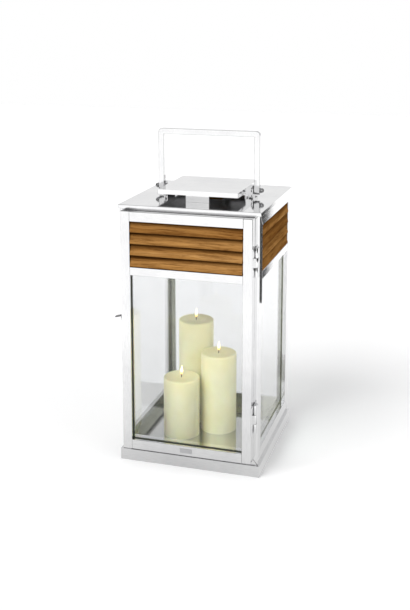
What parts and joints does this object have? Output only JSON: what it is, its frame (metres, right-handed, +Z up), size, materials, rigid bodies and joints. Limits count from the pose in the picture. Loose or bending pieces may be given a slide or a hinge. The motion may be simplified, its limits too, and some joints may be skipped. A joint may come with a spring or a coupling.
{
  "type": "candle lantern",
  "caption": "Tall square candle lantern in polished steel and glass, with slatted teak bands, a hinged front door, a raised vent lid, a swinging carrying handle and pillar candles.",
  "frame": {"origin": "centre of the plinth's underside, which rests on the ground", "axes": "+Z up, -Y towards the door, +X towards the door's hinges"},
  "size_m": [0.3036, 0.3192, 0.6895],
  "materials": {
    "steel": "mirror polished",
    "satin_plate": "satin",
    "teak": "oiled",
    "glass": "clear",
    "wax": "smooth wax",
    "wick": "burnt cotton"
  },
  "bodies": {
    "lantern_body": {"body_hinge_leaves": "steel", "bottom_rail_back": "steel", "bottom_rail_front": "steel", "bottom_rail_left": "steel", "bottom_rail_right": "steel", "dome_nuts": "steel", "glass_back": "glass", "glass_left": "glass", "glass_right": "glass", "handle_lugs": "steel", "hinge_pins": "steel", "keeper_stud": "steel", "mid_rail_back": "steel", "mid_rail_left": "steel", "mid_rail_right": "steel", "pivot_bolts": "steel", "plinth": "steel", "post_back_left": "steel", "post_back_right": "steel", "post_front_left": "steel", "post_front_right": "steel", "roof": "steel", "slat_back_1": "teak", "slat_back_2": "teak", "slat_back_3": "teak", "slat_back_4": "teak", "slat_left_1": "teak", "slat_left_2": "teak", "slat_left_3": "teak", "slat_left_4": "teak", "slat_right_1": "teak", "slat_right_2": "teak", "slat_right_3": "teak", "slat_right_4": "teak", "top_rail_back": "steel", "top_rail_front": "steel", "top_rail_left": "steel", "top_rail_right": "steel", "vent_lid": "steel"},
    "door": {"blank_plate": "satin_plate", "door_glass": "glass", "door_hinge_leaves": "steel", "door_rail_bottom": "steel", "door_rail_middle": "steel", "door_rail_top": "steel", "door_stile_left": "steel", "door_stile_right": "steel", "latch_screw": "steel", "slat_door_1": "teak", "slat_door_2": "teak", "slat_door_3": "teak", "slat_door_4": "teak"},
    "latch": {"latch_lever": "steel"},
    "handle": {"handle": "steel"},
    "candle_short": {"candle_short": "wax", "wick_short": "wick"},
    "candle_middle": {"candle_middle": "wax", "wick_middle": "wick"},
    "candle_tall": {"candle_tall": "wax", "wick_tall": "wick"}
  },
  "joints": [
    {"name": "door_hinge", "type": "hinge", "parent": "lantern_body", "child": "door", "pos_m": [0.1405, -0.151, 0.287], "axis": [0, 0, 1], "range_deg": [0, 105]},
    {"name": "latch_pivot", "type": "hinge", "parent": "door", "child": "latch", "pos_m": [-0.1378, -0.1575, 0.314], "axis": [1, 0, 0], "range_deg": [0, 60]},
    {"name": "handle_pivot", "type": "hinge", "parent": "lantern_body", "child": "handle", "pos_m": [0, 0, 0.5655], "axis": [1, 0, 0], "range_deg": [-90, 90]},
    {"name": "candle_short_lift", "type": "slide", "parent": "lantern_body", "child": "candle_short", "axis": [0, 0, 1], "range_m": [0, 0.1]},
    {"name": "candle_middle_lift", "type": "slide", "parent": "lantern_body", "child": "candle_middle", "axis": [0, 0, 1], "range_m": [0, 0.1]},
    {"name": "candle_tall_lift", "type": "slide", "parent": "lantern_body", "child": "candle_tall", "axis": [0, 0, 1], "range_m": [0, 0.1]}
  ]
}
